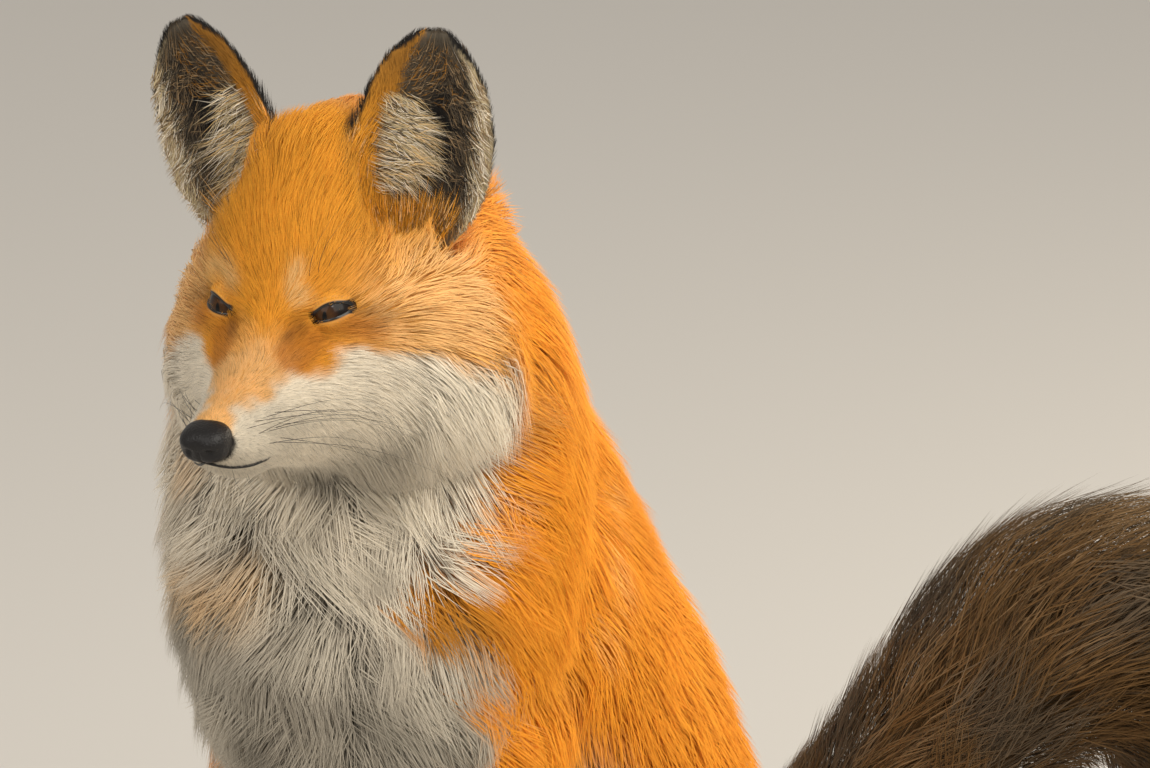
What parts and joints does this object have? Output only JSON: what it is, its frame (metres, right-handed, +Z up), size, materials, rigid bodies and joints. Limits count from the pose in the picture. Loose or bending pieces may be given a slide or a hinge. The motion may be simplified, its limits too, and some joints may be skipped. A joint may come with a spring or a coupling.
{
  "type": "red fox, sitting, still model",
  "caption": "Life-size still model of a red fox in winter coat, sitting upright on its haunches with its bushy tail arched out to one side.",
  "frame": {"origin": "middle of the flat that the rump rests on, at floor level", "axes": "+Z up, -Y the way the fox faces, +X to its left"},
  "size_m": [0.4355, 0.6518, 0.5429],
  "materials": {
    "coat_orange": "dense red-orange fur",
    "coat_white": "long soft white fur over grey undercoat",
    "coat_black": "short close black fur",
    "coat_brush": "long grey-brown fur with black tips",
    "ear_fur": "short fur, black behind and cream inside",
    "nose_skin": "moist pebbled black skin",
    "eye": "clear, wet and glossy",
    "claw": "dark horn",
    "whisker": "stiff black hair"
  },
  "bodies": {
    "root": {"claw_front_left_1": "claw", "claw_front_left_2": "claw", "claw_front_left_3": "claw", "claw_front_left_4": "claw", "claw_front_right_1": "claw", "claw_front_right_2": "claw", "claw_front_right_3": "claw", "claw_front_right_4": "claw", "claw_hind_left_1": "claw", "claw_hind_left_2": "claw", "claw_hind_left_3": "claw", "claw_hind_left_4": "claw", "claw_hind_right_1": "claw", "claw_hind_right_2": "claw", "claw_hind_right_3": "claw", "claw_hind_right_4": "claw", "ear_left": "ear_fur", "ear_right": "ear_fur", "eye_left": "eye", "eye_right": "eye", "foot_hind_left": "coat_black", "foot_hind_right": "coat_black", "head": "coat_orange", "leg_front_left": "coat_black", "leg_front_right": "coat_black", "neck": "coat_white", "nose": "nose_skin", "paw_front_left": "coat_black", "paw_front_right": "coat_black", "tail_base": "coat_brush", "tail_middle": "coat_brush", "tail_tip": "coat_white", "thigh_left": "coat_orange", "thigh_right": "coat_orange", "trunk": "coat_orange"}
  },
  "joints": []
}
